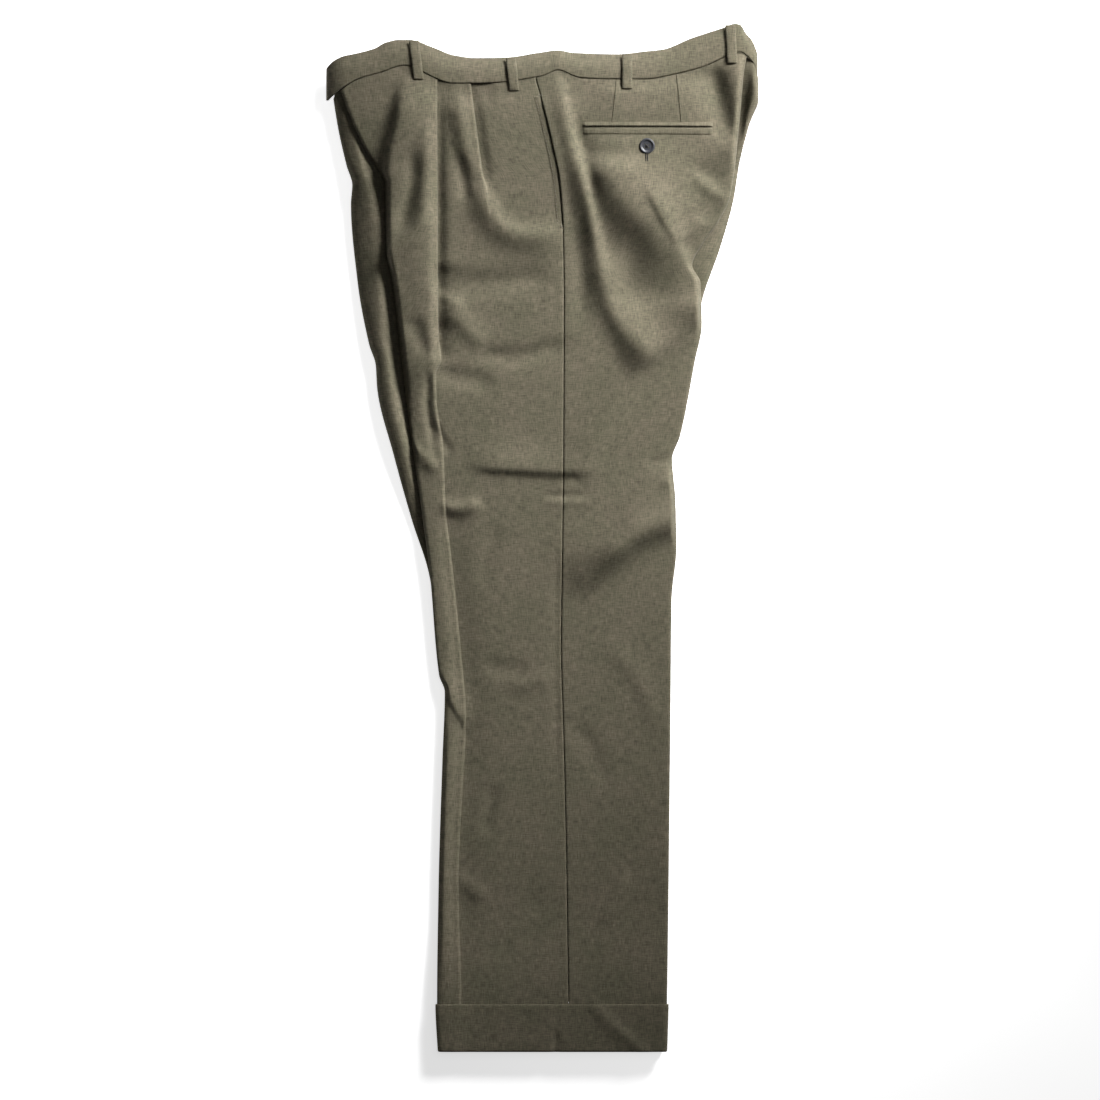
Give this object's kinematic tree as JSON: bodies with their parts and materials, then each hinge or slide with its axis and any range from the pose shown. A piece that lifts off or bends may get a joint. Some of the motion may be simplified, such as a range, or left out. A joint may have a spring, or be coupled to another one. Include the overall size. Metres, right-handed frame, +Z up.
{
  "type": "pleated dress trousers",
  "caption": "Fine wool dress trousers with reverse pleats, belt loops, a buttoned back pocket and turn-ups, laid flat on their side, leg on leg.",
  "frame": {"origin": "centre of the bounding box, on the surface that the trousers lie on", "axes": "+Z up from the surface, +Y from the hems towards the waist, +X from the front towards the back of the trousers"},
  "size_m": [0.4532, 1.0758, 0.0411],
  "materials": {
    "wool": "fine worsted wool, olive taupe, soft matt",
    "wool_inside": "the same wool, inner layers",
    "horn": "dark horn-effect button, satin"
  },
  "bodies": {
    "root": {"front_left": "wool", "back_left": "wool", "front_right": "wool", "back_right": "wool", "inner_layers": "wool_inside", "waistband_left": "wool", "waistband_right": "wool", "turn_up_left": "wool", "turn_up_right": "wool", "belt_loop_front_left": "wool", "belt_loop_side_left": "wool", "belt_loop_back_left": "wool", "belt_loop_centre_back": "wool", "pocket_welt_back_left": "wool", "pocket_edge_side_left": "wool", "button_back_left": "horn"}
  },
  "joints": []
}
